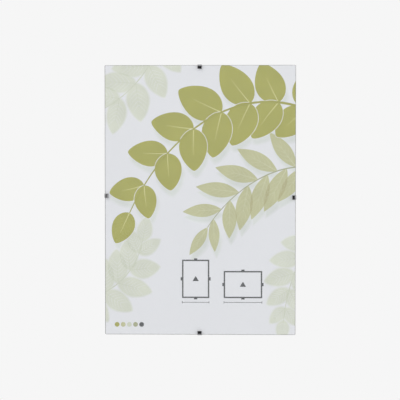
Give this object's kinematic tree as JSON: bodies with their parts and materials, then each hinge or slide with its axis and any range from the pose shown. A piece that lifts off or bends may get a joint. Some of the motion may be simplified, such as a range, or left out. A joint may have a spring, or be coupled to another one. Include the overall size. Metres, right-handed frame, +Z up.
{
  "type": "clip frame",
  "caption": "Frameless picture frame in A4 size: a glass pane, a printed insert and a hardboard back held by spring clips with hanging holes.",
  "frame": {"origin": "middle of the round part of the top clip's hanging hole, halfway through the clip's plate", "axes": "+Z up in portrait, +X to the right seen from the front, +Y out of the back towards the wall; the picture faces -Y"},
  "size_m": [0.2113, 0.0085, 0.2984],
  "materials": {
    "clear_glass": "polished",
    "printed_paper": "satin",
    "hardboard": "matte",
    "black_spring_steel": "satin"
  },
  "bodies": {
    "sheets": {"glass_pane": "clear_glass", "printed_insert": "printed_paper", "back_board": "hardboard"},
    "top_clip": {"top_clip": "black_spring_steel"},
    "bottom_clip": {"bottom_clip": "black_spring_steel"},
    "left_clip": {"left_clip": "black_spring_steel"},
    "right_clip": {"right_clip": "black_spring_steel"}
  },
  "joints": [
    {"name": "top_clip_swing", "type": "hinge", "parent": "sheets", "child": "top_clip", "pos_m": [0, -0.00771, 0.012], "axis": [1, 0, 0], "range_deg": [0, 60]},
    {"name": "bottom_clip_swing", "type": "hinge", "parent": "sheets", "child": "bottom_clip", "pos_m": [0, -0.00771, -0.277], "axis": [-1, 0, 0], "range_deg": [0, 60]},
    {"name": "left_clip_swing", "type": "hinge", "parent": "sheets", "child": "left_clip", "pos_m": [-0.1004, -0.00771, -0.1275], "axis": [0, 0, 1], "range_deg": [0, 60]},
    {"name": "right_clip_swing", "type": "hinge", "parent": "sheets", "child": "right_clip", "pos_m": [0.1016, -0.00771, -0.1293], "axis": [0, 0, -1], "range_deg": [0, 60]}
  ]
}
